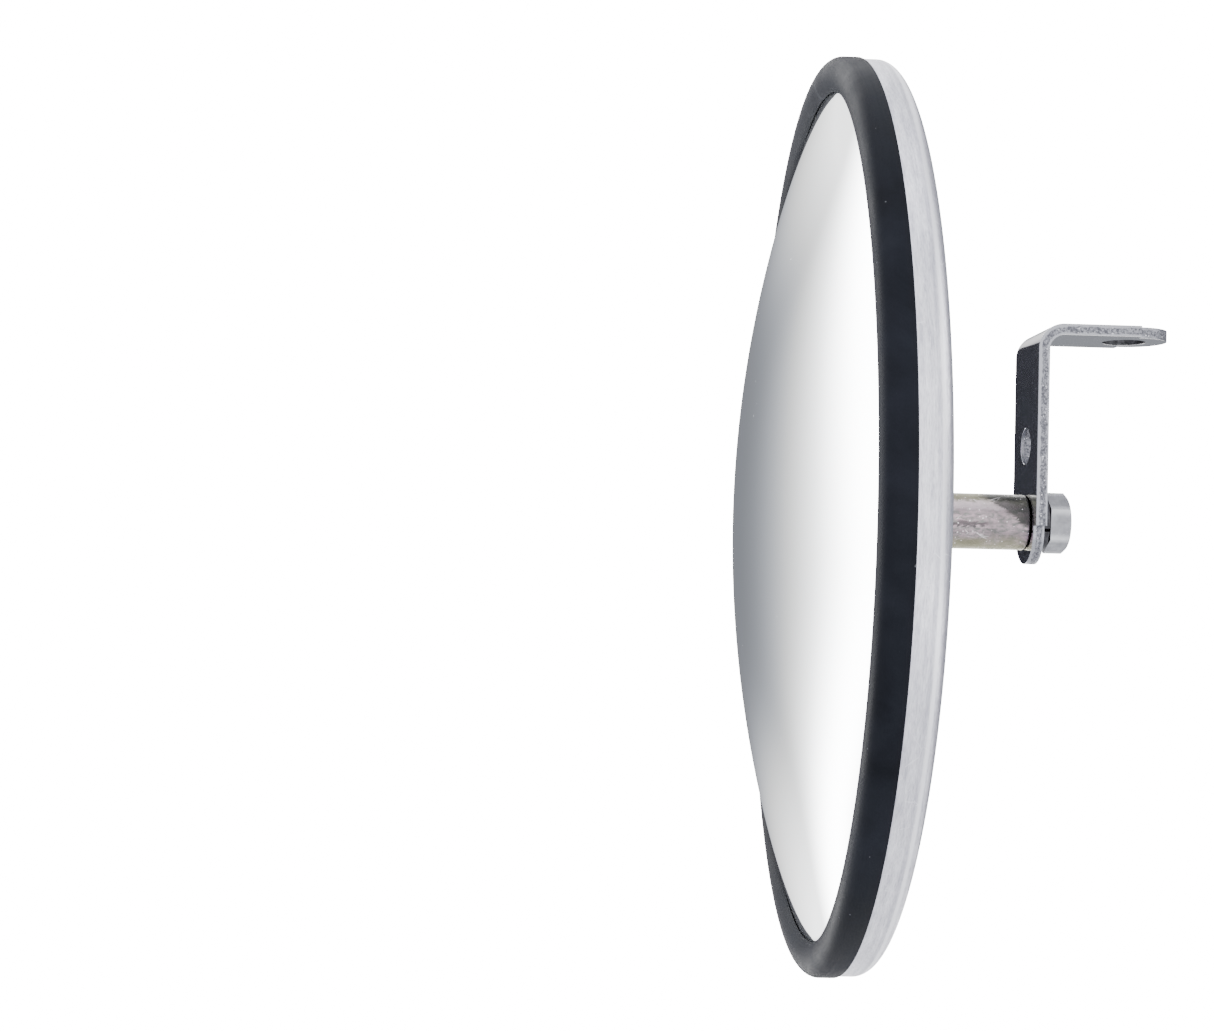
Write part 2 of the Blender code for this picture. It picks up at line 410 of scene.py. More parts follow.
@dataclass(frozen=True)
class BrushedGrain(Effect):
    """Fine parallel lines of uneven strength, as an abrasive belt leaves."""

    name: str = "brushed_grain"
    output: str = "Tone"

    def build(self) -> bpy.types.NodeTree:
        """Build the group and return its tree."""
        graph, read = self.open(Scale=1.0, Contrast=1.0)
        fine = graph.noise(read["Vector"], read["Scale"], 4.0, 0.7)
        coarse = graph.noise(read["Vector"], read["Scale"] * 0.21, 2.0)
        return self.close(graph.contrast(fine * 0.6 + coarse * 0.4, read["Contrast"]))


@dataclass(frozen=True)
class DustSpecks(Effect):
    """Separate small round flecks of uneven size."""

    name: str = "dust_specks"
    output: str = "Mask"

    def build(self) -> bpy.types.NodeTree:
        """Build the group and return its tree."""
        graph, read = self.open(Scale=300.0, Amount=0.2, Size=0.2)
        cells = self.cells(graph, read)
        chance = graph.split(cells.outputs["Color"])
        chosen = graph.math("LESS_THAN", chance[0], read["Amount"])
        reach = read["Size"] * (chance[1] * 0.8 + 0.2)
        near = graph.ease(Value(graph, cells.outputs["Distance"]) / reach, 1.0, 0.6)
        return self.close(near * chosen)


@dataclass(frozen=True)
class Mottle(Effect):
    """Soft cloudy patches with an even split of light and dark."""

    name: str = "mottle"
    output: str = "Mask"

    def build(self) -> bpy.types.NodeTree:
        """Build the group and return its tree."""
        graph, read = self.open(Scale=100.0, Contrast=2.0)
        cloud = graph.noise(read["Vector"], read["Scale"], 6.0, 0.6, 0.4)
        return self.close(graph.contrast(cloud, read["Contrast"]))


@dataclass(frozen=True)
class HairScratches(Effect):
    """Thin broken scratches in crossing directions."""

    name: str = "hair_scratches"
    output: str = "Mask"

    def build(self) -> bpy.types.NodeTree:
        """Build the group and return its tree."""
        graph, read = self.open(Scale=120.0, Width=0.02, Amount=0.5)
        cells = self.cells(graph, read, feature="DISTANCE_TO_EDGE")
        line = graph.ease(cells.outputs["Distance"], read["Width"], 0.0)
        patch = graph.noise(read["Vector"], read["Scale"] * 0.6, 2.0)
        gap = graph.ease(patch, 1.0 - read["Amount"], 1.1 - read["Amount"])
        return self.close(line * gap)


@dataclass(frozen=True)
class Effects:
    """The four shared effects, built once."""

    grain: bpy.types.NodeTree = field(default_factory=lambda: BrushedGrain().build())
    specks: bpy.types.NodeTree = field(default_factory=lambda: DustSpecks().build())
    mottle: bpy.types.NodeTree = field(default_factory=lambda: Mottle().build())
    scratches: bpy.types.NodeTree = field(default_factory=lambda: HairScratches().build())


# ---------------------------------------------------------------- finishes

class Coat(Graph):
    """A new material's graph, with the shared effects at hand."""

    def __init__(self, name: str, effects: Effects, axis_z: float, metallic: float) -> None:
        """Start a material.

        Args:
            name: The material's name.
            effects: The shared effects.
            axis_z: The height that its patterns are measured from.
            metallic: Its Metallic value.
        """
        self.material = bpy.data.materials.new(name)
        self.material.use_nodes = True
        super().__init__(self.material.node_tree)
        self.effects = effects
        self.axis_z = axis_z
        self.shader = self.tree.nodes["Principled BSDF"]
        self.shader.inputs["Metallic"].default_value = metallic

    def here(self, scale: Triple = (1, 1, 1), turn: Triple = (0, 0, 0)) -> Value:
        """Return coordinates measured from the axis, stretched and turned."""
        return self.stretched(scale, (0, 0, self.axis_z), turn)

    def from_axis(self) -> Value:
        """Return the distance from the axis."""
        return self.vector("LENGTH", self.vector("MULTIPLY", self.here(), (1, 0, 1)))

    def mottle(self, where: Value, scale: float, contrast: float) -> Value:
        """Return soft patches at a vector."""
        return self.group(self.effects.mottle, Vector=where, Scale=scale, Contrast=contrast)

    def grain(self, where: Value, contrast: float) -> Value:
        """Return fine lines along the least stretched way of a vector."""
        return self.group(self.effects.grain, Vector=where, Contrast=contrast)

    def specks(self, where: Value, scale: float, amount: float, size: float) -> Value:
        """Return flecks at a vector."""
        return self.group(self.effects.specks, Vector=where, Scale=scale, Amount=amount,
                          Size=size)

    def scratches(self, where: Value, scale: float, width: float, amount: float) -> Value:
        """Return scratches at a vector."""
        return self.group(self.effects.scratches, Vector=where, Scale=scale, Width=width,
                          Amount=amount)

    def close(self, base: Value, rough: Value, height: Value, depth: float) -> Material:
        """Feed the shader.

        Args:
            base: The Base Color.
            rough: The Roughness.
            height: The relief.
            depth: The depth that 1 stands for.

        Returns:
            The finished material.
        """
        self.feed(self.shader.inputs["Base Color"], base)
        self.feed(self.shader.inputs["Roughness"], rough)
        relief = self.add("ShaderNodeBump")
        relief.inputs["Distance"].default_value = depth
        self.feed(relief.inputs["Height"], height)
        self.feed(self.shader.inputs["Normal"], relief.outputs["Normal"])
        return self.material


@dataclass(frozen=True)
class Finish:
    """What every finish has: the shared effects and the axis it is measured from."""

    effects: Effects
    axis_z: float = 0.0

    def coat(self, name: str, metallic: float = 1.0) -> Coat:
        """Start the finish's material."""
        return Coat(name, self.effects, self.axis_z, metallic)


@dataclass(frozen=True)
class MirrorPolish(Finish):
    """The dome's mirror: a polished sheet with a trace of dust and haze."""

    colour: Triple = (0.93, 0.95, 0.96)
    dusty: Triple = (0.72, 0.75, 0.78)

    def build(self) -> Material:
        """Build the material and return it."""
        coat = self.coat("mirror_polish")
        here = coat.here()
        haze = coat.mottle(here, 14.0, 2.4)
        specks = coat.specks(here, 260.0, 0.10, 0.10)
        rough = coat.ease(haze, 0.0, 1.0, 0.018, 0.05) + specks * 0.3
        return coat.close(coat.blend(specks, self.colour, self.dusty), rough,
                          coat.noise(here, 9.0, 1.0), 0.00012)


@dataclass(frozen=True)
class BlackRubber(Finish):
    """Blue-black rubber: satin, dusty, with a butt joint at the very top."""

    deep: Triple = (0.0050, 0.0055, 0.0080)
    worn: Triple = (0.0145, 0.0160, 0.0225)
    dust: Triple = (0.12, 0.125, 0.14)
    joint_at: float = 0.012
    joint_half_width: float = 0.0022
    outer: float = 0.160

    def build(self) -> Material:
        """Build the material and return it."""
        coat = self.coat("black_rubber", 0.0)
        here = coat.here()
        cloud = coat.mottle(here, 38.0, 2.6)
        streaks = coat.grain(coat.here((40, 1500, 40)), 2.0)
        specks = coat.specks(here, 340.0, 0.10, 0.15)
        across, _, up = coat.split(here)
        # Painted sheen: the ring's upper part is lightened towards the worn colour, standing in
        # for the overhead light's sheen; the mottled patches mixed in with it are wear.
        painted_top_sheen = coat.ease(up, self.outer * 0.55, self.outer, 0.0, 0.60)
        wear_and_top_sheen = coat.math("MAXIMUM", cloud * 0.7, painted_top_sheen)
        near_joint = coat.ease(abs(across - self.joint_at), self.joint_half_width,
                               self.joint_half_width * 0.5)
        joint = near_joint * coat.math("GREATER_THAN", up, self.outer * 0.8)
        base = coat.layers(self.deep, (wear_and_top_sheen, self.worn), (joint * 0.10, self.dust),
                           (specks * 0.6, self.dust))
        coat.shader.inputs["IOR"].default_value = 1.12
        coat.shader.inputs["Specular Tint"].default_value = (0.88, 0.91, 1.0, 1)
        rough = coat.ease(cloud * 0.6 + streaks * 0.4, 0.0, 1.0, 0.46, 0.64) + specks * 0.3
        height = coat.noise(here, 1600.0, 3.0, 0.6) * 0.5 + streaks * 0.5 - joint * 0.8
        return coat.close(base, rough, height, 0.00002)


@dataclass(frozen=True)
class BrushedStainless(Finish):
    """Satin sheet steel, brushed aslant round its wall and straight across its back."""

    light: Triple = (0.94, 0.94, 1.0)
    dark: Triple = (0.34, 0.34, 0.41)
    flat_from: float = 0.150
    outer: float = 0.160
    lean: float = 0.35
    stroke_lean: float = math.radians(38)
    corner_y: float = -0.100

    def build(self) -> Material:
        """Build the material and return it."""
        coat = self.coat("brushed_stainless")
        here = coat.here()
        across, depth, up = coat.split(here)
        unrolled = coat.add("ShaderNodeCombineXYZ")
        coat.feed(unrolled.inputs["X"], coat.math("ARCTAN2", up, across) * self.outer)
        coat.feed(unrolled.inputs["Y"], depth)
        slanted = coat.mapped(unrolled.outputs["Vector"], (380, 2400, 1),
                              (0, 0, self.stroke_lean))
        ring = (coat.grain(coat.here((26, 2600, 26)), 2.2) * 0.35
                + coat.grain(slanted, 3.6) * 0.65)
        cross = coat.grain(coat.here((2400, 30, 30), (0, self.lean, 0)), 1.9)
        on_back = coat.ease(coat.from_axis(), self.flat_from + 0.002, self.flat_from)
        tone = cross * on_back + ring * (1.0 - on_back)
        cloud = coat.mottle(here, 26.0, 2.0)
        scratches = coat.scratches(coat.here((1, 3, 1)), 90.0, 0.012, 0.5)
        # Painted reflections near the rear corner: a painted dark reflection line, and a little
        # further back a painted highlight line.
        darkening = coat.band(depth, self.corner_y - 0.0002, 0.0008)
        brightened = coat.band(depth, self.corner_y + 0.0012, 0.0009)
        base = coat.layers(self.dark, (tone, self.light), (cloud * 0.25, self.dark),
                           (darkening * 0.35, self.dark), (brightened * 0.7, self.light),
                           (scratches * 0.5, self.light))
        rough = tone * -0.10 + 0.37 + cloud * 0.06
        return coat.close(base, rough, tone - scratches, 0.00002)


@dataclass(frozen=True)
class Streak:
    """A dark streak along the stem: heights in radii, lengths from the stem's end."""

    height: float
    half_width: float
    start: float
    end: float
    depth: float


@dataclass(frozen=True)
class YellowZinc(Finish):
    """Zinc with a faded yellow passivation: pinkish grey, olive above and below."""

    pink: Triple = (0.44, 0.335, 0.395)
    grey: Triple = (0.19, 0.19, 0.20)
    olive: Triple = (0.33, 0.32, 0.20)
    dark: Triple = (0.05, 0.045, 0.05)
    # The colour of the painted dark reflection at the stem's end.
    dark_reflection_colour: Triple = (0.040, 0.043, 0.040)
    sheen: Triple = (0.74, 0.63, 0.69)
    fleck: Triple = (0.80, 0.77, 0.79)
    end_y: float = -0.0353
    radius: float = 0.010
    streaks: tuple[Streak, ...] = (
        Streak(-0.13, 0.12, -0.012, -0.017, 0.78), Streak(0.84, 0.13, -0.018, -0.013, 0.70),
        Streak(0.20, 0.07, -0.016, -0.021, 0.25), Streak(-0.42, 0.08, -0.020, -0.024, 0.22),
    )

    def build(self) -> Material:
        """Build the material and return it."""
        coat = self.coat("yellow_zinc")
        here = coat.here()
        cloud = coat.mottle(coat.here((1, 0.45, 1)), 900.0, 4.2)
        stain = coat.mottle(coat.here((1, 0.5, 1)), 110.0, 4.0)
        lathe = coat.grain(coat.here((60, 3200, 60)), 2.0)
        scratches = coat.scratches(coat.here((1, 0.4, 1)), 420.0, 0.04, 0.40)
        specks = coat.specks(here, 900.0, 0.30, 0.36)
        _, along, up = coat.split(here)
        wander = (stain - 0.5) * 0.003
        ragged = (cloud - 0.5) * 0.0012
        level = up + ragged
        tinge = coat.ease(abs(up) + wander, self.radius * 0.45, self.radius * 0.98, 0.10, 0.95)
        sheen = (coat.band(level, self.radius * 0.56, 0.0024)
                 * coat.ease(along, self.end_y - 0.004, self.end_y - 0.009))
        base = coat.layers(self.pink, (cloud, self.grey), (tinge, self.olive),
                           (stain * 0.45, self.dark), (sheen * 0.45, self.sheen))
        for mark in self.streaks:
            streak = (coat.band(level, self.radius * mark.height,
                                self.radius * mark.half_width)
                      * coat.ease(along + wander, self.end_y + mark.start,
                                  self.end_y + mark.end))
            base = coat.blend(streak * mark.depth, base, self.dark)
        # Painted reflection: the stem's end by the bracket is darkened, standing in for the
        # leg's dark face reflected in it.
        painted_dark_reflection = coat.ease(along + up * 1.1 + (wander + ragged), self.end_y - 0.0048,
                          self.end_y - 0.0026)
        flecks = coat.math("MAXIMUM", scratches, specks)
        base = coat.layers(base, (painted_dark_reflection * 0.84, self.dark_reflection_colour), (flecks * 0.7, self.fleck))
        rough = coat.ease(cloud * 0.5 + lathe * 0.5, 0.0, 1.0, 0.24, 0.44)
        relief = lathe * 0.7 + coat.noise(here, 1100.0, 4.0) * 0.5
        return coat.close(base, rough, relief - scratches, 0.00003)


@dataclass(frozen=True)
class PolishedPlate(Finish):
    """The bar's polished faces, with light handling marks."""

    colour: Triple = (0.78, 0.77, 0.78)
    dull: Triple = (0.60, 0.59, 0.61)
    mark: Triple = (0.9, 0.9, 0.92)

    def build(self) -> Material:
        """Build the material and return it."""
        coat = self.coat("polished_stainless")
        here = coat.here()
        cloud = coat.mottle(here, 70.0, 2.6)
        grain = coat.grain(coat.here((2200, 90, 90)), 1.6)
        scratches = coat.scratches(here, 260.0, 0.014, 0.30)
        marks = coat.math("MAXIMUM", scratches, coat.specks(here, 620.0, 0.04, 0.14))
        base = coat.layers(self.colour, (cloud * 0.5, self.dull), (marks * 0.5, self.mark))
        rough = coat.ease(cloud * 0.5 + grain * 0.5, 0.0, 1.0, 0.05, 0.10) + marks * 0.16
        return coat.close(base, rough, grain - scratches, 0.000002)


@dataclass(frozen=True)
class ShearedEdge(Finish):
    """The bar's cut edges: a smooth sheared band, then a frosted torn one."""

    smooth: Triple = (0.24, 0.245, 0.27)
    torn: Triple = (0.31, 0.315, 0.35)
    pit: Triple = (0.05, 0.05, 0.065)
    glint: Triple = (0.66, 0.66, 0.70)
    bend: tuple[float, float] = (-0.026, -0.009)
    bend_radius: float = 0.009
    thickness: float = 0.004

    def build(self) -> Material:
        """Build the material and return it."""
        coat = self.coat("sheared_edge")
        here = coat.here()
        corner = coat.stretched((1, -1, 1), (0, *self.bend))
        outside = coat.vector("MAXIMUM", corner, (0, 0, 0))
        reach = coat.vector("LENGTH", coat.vector("MULTIPLY", outside, (0, 1, 1)))
        depth = ((self.bend_radius - reach) / self.thickness
                 + (coat.noise(here, 420.0, 3.0) - 0.5) * 0.5)
        band = coat.ease(depth, 0.22, 0.32) * coat.ease(depth, 0.86, 0.74)
        pits = coat.mottle(here, 1400.0, 5.5)
        specks = coat.specks(here, 1000.0, 0.40, 0.42)
        frosted = coat.layers(self.torn, (pits * 0.80, self.pit), (specks, self.glint))
        darkening = coat.grain(coat.here((700, 700, 700)), 1.8)
        sheared = coat.blend(darkening * 0.5, self.torn, self.smooth)
        return coat.close(coat.blend(band, sheared, frosted),
                          coat.ease(band, 0.0, 1.0, 0.26, 0.55), (pits + specks) * band,
                          0.00008)


@dataclass(frozen=True)
class BoltSteel(Finish):
    """Forged bolt steel: satin grey with rubbed corners."""

    colour: Triple = (0.27, 0.275, 0.30)
    brightened: Triple = (0.52, 0.53, 0.56)
    dark: Triple = (0.17, 0.17, 0.19)
    corner: float = 0.0098

    def build(self) -> Material:
        """Build the material and return it."""
        coat = self.coat("bolt_steel")
        here = coat.here()
        cloud = coat.mottle(here, 260.0, 3.0)
        specks = coat.specks(here, 1100.0, 0.25, 0.3)
        # The hexagon's corners are rubbed lighter.
        brightened = coat.ease(coat.from_axis(), self.corner, self.corner + 0.0009)
        base = coat.layers(self.colour, (cloud * 0.55, self.dark), (brightened * 0.7, self.brightened),
                           (specks * 0.5, self.brightened))
        return coat.close(base, coat.ease(cloud, 0.0, 1.0, 0.30, 0.48),
                          cloud + coat.noise(here, 900.0, 3.0), 0.00003)


@dataclass(frozen=True)
class SpringSteelAndHoleShade(Finish):
    """Dark oiled spring steel, also used as painted shade on the flange hole's wall."""

    name: str = "spring_steel"
    colour: Triple = (0.03, 0.03, 0.034)
    worn: Triple = (0.09, 0.09, 0.10)

    def build(self) -> Material:
        """Build the material and return it."""
        coat = self.coat(self.name)
        cloud = coat.mottle(coat.here(), 420.0, 3.0)
        return coat.close(coat.blend(cloud, self.colour, self.worn),
                          coat.ease(cloud, 0.0, 1.0, 0.34, 0.55), cloud, 0.00003)


# ---------------------------------------------------------------- shapes

class Pen:
    """Draws a chain of edges in one plane: straight lines, arcs and rounded corners."""

    def __init__(self, start: Vector, normal: Vector) -> None:
        """Start a chain.

        Args:
            start: Its first point.
            normal: The normal of its plane.
        """
        self.shape = bmesh.new()
        self.normal = normal
        self.first = self.shape.verts.new(start)
        self.last = self.first
        self.corners: list[tuple[bmesh.types.BMVert, float]] = []

    def line(self, point: Vector, rounding: float = 0.0) -> "Pen":
        """Draw a straight line.

        Args:
            point: Where it ends.
            rounding: How far the corner there is cut back and rounded.

        Returns:
            This pen.
        """
        made = self.shape.verts.new(point)
        self.shape.edges.new((self.last, made))
        self.last = made
        if rounding:
            self.corners.append((made, rounding))
        return self

    def arc(self, centre: Vector, angle: float, steps: int) -> "Pen":
        """Swing the last point round a centre.

        Args:
            centre: The arc's centre.
            angle: How far it swings about the plane's normal.
            steps: How many edges it has.

        Returns:
            This pen.
        """
        made = bmesh.ops.spin(self.shape, geom=[self.last], cent=centre, axis=self.normal,
                              angle=angle, steps=steps, use_duplicate=False)
        self.last = made["geom_last"][0]
        return self

    def squeeze(self, centre: Vector, scale: Vector) -> "Pen":
        """Scale what is drawn so far about a centre and return this pen."""
        bmesh.ops.scale(self.shape, vec=scale, space=Matrix.Translation(-centre),
                        verts=self.shape.verts)
        return self

    def close(self) -> "Pen":
        """Join the last point to the first and return this pen."""
        self.shape.edges.new((self.last, self.first))
        return self

    def soften(self) -> Shape:
        """Round the corners that were asked for and return the drawn shape."""
        for corner, rounding in self.corners:
            bmesh.ops.bevel(self.shape, geom=[corner], offset=rounding,
                            offset_type="OFFSET", segments=4, profile=0.5,
                            affect="VERTICES", material=-1)
        return self.shape

    def slab(self, thickness: Vector) -> Shape:
        """Fill the closed chain and give it a thickness.

        Args:
            thickness: The way from its first face to its last.

        Returns:
            A closed solid.
        """
        shape = self.soften()
        bmesh.ops.contextual_create(shape, geom=shape.edges[:])
        made = bmesh.ops.extrude_face_region(shape, geom=shape.faces[:],
                                             use_keep_orig=True)
        moved = [item for item in made["geom"] if isinstance(item, bmesh.types.BMVert)]
        bmesh.ops.translate(shape, verts=moved, vec=thickness)
        bmesh.ops.recalc_face_normals(shape, faces=shape.faces)
        return shape


@dataclass(frozen=True)
class Lathe:
    """Turns a chain of (radius, depth) points about an axis along Y."""

    axis_z: float

    def at(self, radius: float, depth: float) -> Vector:
        """Return a point of the section."""
        return Vector((radius, depth, self.axis_z))

    def pen(self, radius: float, depth: float) -> Pen:
        """Return a pen at a point of the section."""
        return Pen(self.at(radius, depth), Vector((0, 0, 1)))

    def lines(self, pen: Pen, *stops: tuple[float, ...]) -> None:
        """Draw straight lines from point to point of the section.

        Args:
            pen: The pen that draws them.
            *stops: Each point's radius and depth, and its rounding if it has one.
        """
        for radius, depth, *rounding in stops:
            pen.line(self.at(radius, depth), *rounding)

    def turn(self, pen: Pen, segments: int) -> Shape:
        """Turn a section all the way round.

        Args:
            pen: The pen that drew it.
            segments: How many facets go round.

        Returns:
            A closed solid whose faces point outwards.
        """
        shape = pen.soften()
        bmesh.ops.spin(shape, geom=shape.verts[:] + shape.edges[:],
                       cent=self.at(0, 0), axis=TURN_AXIS, angle=math.tau, steps=segments,
                       use_merge=True, use_duplicate=False)
        bmesh.ops.remove_doubles(shape, verts=shape.verts, dist=WELD)
        bmesh.ops.recalc_face_normals(shape, faces=shape.faces)
        return shape

    def rod(self, radius: float, low: float, high: float, sides: int,
            turn: float = 0.0) -> Shape:
        """Make a prism along the axis.

        Args:
            radius: Its radius to its corners.
            low: Where it starts along Y.
            high: Where it ends.
            sides: How many sides it has.
            turn: How far it is turned about the axis.

        Returns:
            A closed solid.
        """
        shape = bmesh.new()
        place = (Matrix.Translation(self.at(0, (low + high) / 2))
                 @ Matrix.Rotation(-turn, 4, "Y") @ Matrix.Rotation(-QUARTER, 4, "X"))
        bmesh.ops.create_cone(shape, cap_ends=True, segments=sides, radius1=radius,
                              radius2=radius, depth=high - low, matrix=place)
        return shape


def to_mesh(name: str, shape: Shape) -> bpy.types.Mesh:
    """Make a mesh of a shape, which is used up."""
    mesh = bpy.data.meshes.new(name)
    shape.to_mesh(mesh)
    shape.free()
    return mesh


def set_down(name: str, data: bpy.types.ID) -> bpy.types.Object:
    """Return a new object, linked to the scene.

    Args:
        name: Its name.
        data: Its mesh, lamp or camera.

    Returns:
        The object.
    """
    made = bpy.data.objects.new(name, data)
    bpy.context.scene.collection.objects.link(made)
    return made


def carve(body: Shape, tool: Shape, how: Carve) -> Shape:
    """Use one solid on another.

    Args:
        body: The solid that is worked on. It is used up.
        tool: The other solid. It is used up.
        how: What the tool does.

    Returns:
        The result, as a new shape.
    """
    blocks = [set_down("block", to_mesh("block", shape)) for shape in (body, tool)]
    change = blocks[0].modifiers.new("carve", "BOOLEAN")
    change.operation = how.value
    change.solver = "EXACT"
    change.object = blocks[1]
    seen = blocks[0].evaluated_get(bpy.context.evaluated_depsgraph_get())
    result = bmesh.new()
    result.from_mesh(seen.to_mesh())
    seen.to_mesh_clear()
    for block in blocks:
        bpy.data.meshes.remove(block.data)
    bmesh.ops.remove_doubles(result, verts=result.verts, dist=WELD)
    return result


@dataclass(frozen=True)
class Bench:
    """Turns shapes into finished pieces and reports them."""

    crease: float = math.radians(32)

    def finish(self, name: str, shape: Shape, body: Body, slot: Slot,
               nodes: tuple[str, ...], materials: list[Material],
               edge: float = 0.0) -> None:
        """Make a shape a piece that rides on a body.

        Args:
            name: The piece's name.
            shape: Its mesh, which is used up.
            body: The body it rides on.
            slot: The record's slot for its finish. It is not used.
            nodes: The CAD nodes that it stands for.
            materials: Its materials, in the order of its faces' indices.
            edge: The width of the rounding on its sharp edges, if it has one.
        """
        triangles = sum(len(face.verts) - 2 for face in shape.faces)
        mesh = to_mesh(name, shape)
        mesh.shade_smooth()
        mesh.set_sharp_from_angle(angle=self.crease)
        for material in materials:
            mesh.materials.append(material)
        piece = set_down(name, mesh)
        if edge:
            rounding = piece.modifiers.new("edge", "BEVEL")
            rounding.width = edge
            rounding.segments = 3
            rounding.limit_method = "ANGLE"
            rounding.angle_limit = self.crease
            rounding.harden_normals = True
        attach(piece, body.value)
        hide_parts(*nodes)
        log.info("%s: %d triangles on %s", name, triangles, body.value)

    def dress(self, node: str, material: Material) -> None:
        """Give a CAD node that stays a better material.

        Args:
            node: The node's name.
            material: Its material.
        """
        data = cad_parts[node].data
        data.materials.clear()
        data.materials.append(material)
        log.info("%s: CAD node dressed in %s", node, material.name)


# ---------------------------------------------------------------- the mirror head

@dataclass(frozen=True)
class MirrorHead:
    """The dome, its rubber bead, the pan behind it and the stem."""

    bench: Bench
    effects: Effects
    bead_width: float = 0.0124
    lip_angle: float = math.radians(155)
    slot_wall: float = 0.0046
    spigot: float = 0.002
    rim_width: float = 0.0057
    sheet: float = 0.001
    gap: float = 0.0003
    pan_corner: float = 0.0045
    stem_radius: float = 0.010
    bore_radius: float = 0.0063
    hole_radius: float = 0.0065
    segments: int = 288

    @property
    def axis_z(self) -> float:
        """The height of the head's axis."""
        low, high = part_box("rubber_gasket")
        return (low.z + high.z) / 2

    @property
    def outer(self) -> float:
        """The radius of the rubber."""
        low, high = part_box("rubber_gasket")
        return (high.x - low.x) / 2

    @property
    def lathe(self) -> Lathe:
        """A lathe on the head's axis."""
        return Lathe(self.axis_z)

    @property
    def bead_centre(self) -> float:
        """The radius of the middle of the bead."""
        return self.outer - self.bead_width / 2

    @property
    def lip(self) -> float:
        """The radius where the rubber ends on the dome."""
        return self.bead_centre + self.bead_width / 2 * math.cos(self.lip_angle)

    def build_dome(self) -> None:
        """Build the spherical mirror with its flat rim."""
        low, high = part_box("mirror_dome")
        top, back = low.y, high.y
        edge = self.lip + self.gap
        rim_front = back - self.sheet
        rise = rim_front - top
        sphere = (edge ** 2 + rise ** 2) / (2 * rise)
        centre = top + sphere
        lean = math.asin(edge / sphere)
        inner = sphere - self.sheet
        inner_lean = math.acos((centre - back) / inner)
        lathe = self.lathe
        pen = lathe.pen(0, top)
        pen.arc(lathe.at(0, centre), lean, 72)
        lathe.lines(pen, (high.x, rim_front, 0.0002), (high.x, back, 0.0002),
                    (inner * math.sin(inner_lean), back))
        pen.arc(lathe.at(0, centre), -inner_lean, 48)
        shape = lathe.turn(pen, self.segments)
        self.bench.finish("mirror_dome_sheet", shape, Body.HEAD, Slot.MIRROR,
                          ("mirror_dome",), [MirrorPolish(self.effects, self.axis_z).build()])

    def build_gasket(self) -> None:
        """Build the rubber bead with the dome's slot and the spigot in the pan."""
        low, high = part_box("rubber_gasket")
        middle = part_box("mirror_dome")[1].y
        rise = middle - low.y
        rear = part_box("back_pan")[0].y - self.gap
        slot_front = middle - self.sheet - self.gap
        slot_back = middle + self.gap
        slot_floor = self.lip + self.rim_width
        pan_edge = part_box("back_pan")[1].x - self.sheet - self.gap
        tip_in = pan_edge - self.spigot
        lathe = self.lathe
        pen = lathe.pen(self.outer, middle)
        pen.arc(lathe.at(self.bead_centre, middle), -self.lip_angle, 40)
        pen.squeeze(lathe.at(self.bead_centre, middle),
                    Vector((1, rise / (self.bead_width / 2), 1)))
        wall_back = slot_back + self.slot_wall
        lathe.lines(pen, (self.lip, slot_front, 0.00025), (slot_floor, slot_front),
                    (slot_floor, slot_back), (self.lip, slot_back), (self.lip, wall_back),
                    (tip_in, wall_back), (tip_in, high.y, 0.0003),
                    (pan_edge - 0.0001, high.y, 0.0003), (pan_edge, rear),
                    (self.outer, rear, 0.0003))
        pen.close()
        shape = lathe.turn(pen, self.segments)
        rubber = BlackRubber(self.effects, self.axis_z, outer=self.outer).build()
        self.bench.finish("rubber_bead", shape, Body.HEAD, Slot.RUBBER, ("rubber_gasket",),
                          [rubber])

    def build_pan(self, material: Material) -> None:
        """Build the drawn pan: a low wall, a soft corner and a flat back."""
        low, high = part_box("back_pan")
        radius, back = high.x, high.y
        corner = self.pan_corner
        lathe = self.lathe
        centre = lathe.at(radius - corner, back - corner)
        pen = lathe.pen(self.hole_radius, back)
        pen.line(lathe.at(radius - corner, back))
        pen.arc(centre, -QUARTER, 18)
        front = low.y - self.gap * 0.8
        lathe.lines(pen, (radius, front, 0.0001), (radius - self.sheet, front, 0.0001),
                    (radius - self.sheet, back - corner))
        pen.arc(centre, QUARTER, 18)
        pen.line(lathe.at(self.hole_radius, back - self.sheet))
        pen.close()
        shape = lathe.turn(pen, self.segments)
        self.bench.finish("back_pan_shell", shape, Body.HEAD, Slot.BRUSHED, ("back_pan",),
                          [material])

    def build_stem(self) -> None:
        """Build the turned stem with its worn, chamfered ends."""
        low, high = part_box("stem_standoff")
        lathe = self.lathe
        pen = lathe.pen(self.bore_radius, low.y)
        lathe.lines(pen, (self.stem_radius, low.y, 0.0008),
                    (self.stem_radius, high.y, 0.0008), (self.bore_radius, high.y))
        pen.close()
        shape = lathe.turn(pen, 128)
        zinc = YellowZinc(self.effects, self.axis_z, radius=self.stem_radius).build()
        self.bench.finish("stem_bar", shape, Body.HEAD, Slot.ZINC, ("stem_standoff",), [zinc])

    def build(self) -> None:
        """Build the head's pieces and dress the plate inside."""
        brushed = BrushedStainless(self.effects, self.axis_z,
                                   flat_from=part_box("back_pan")[1].x - self.pan_corner).build()
        self.build_dome()
        self.build_gasket()
        self.build_pan(brushed)
        self.build_stem()
        self.bench.dress("doubler_plate", brushed)


# ---------------------------------------------------------------- the wall bracket

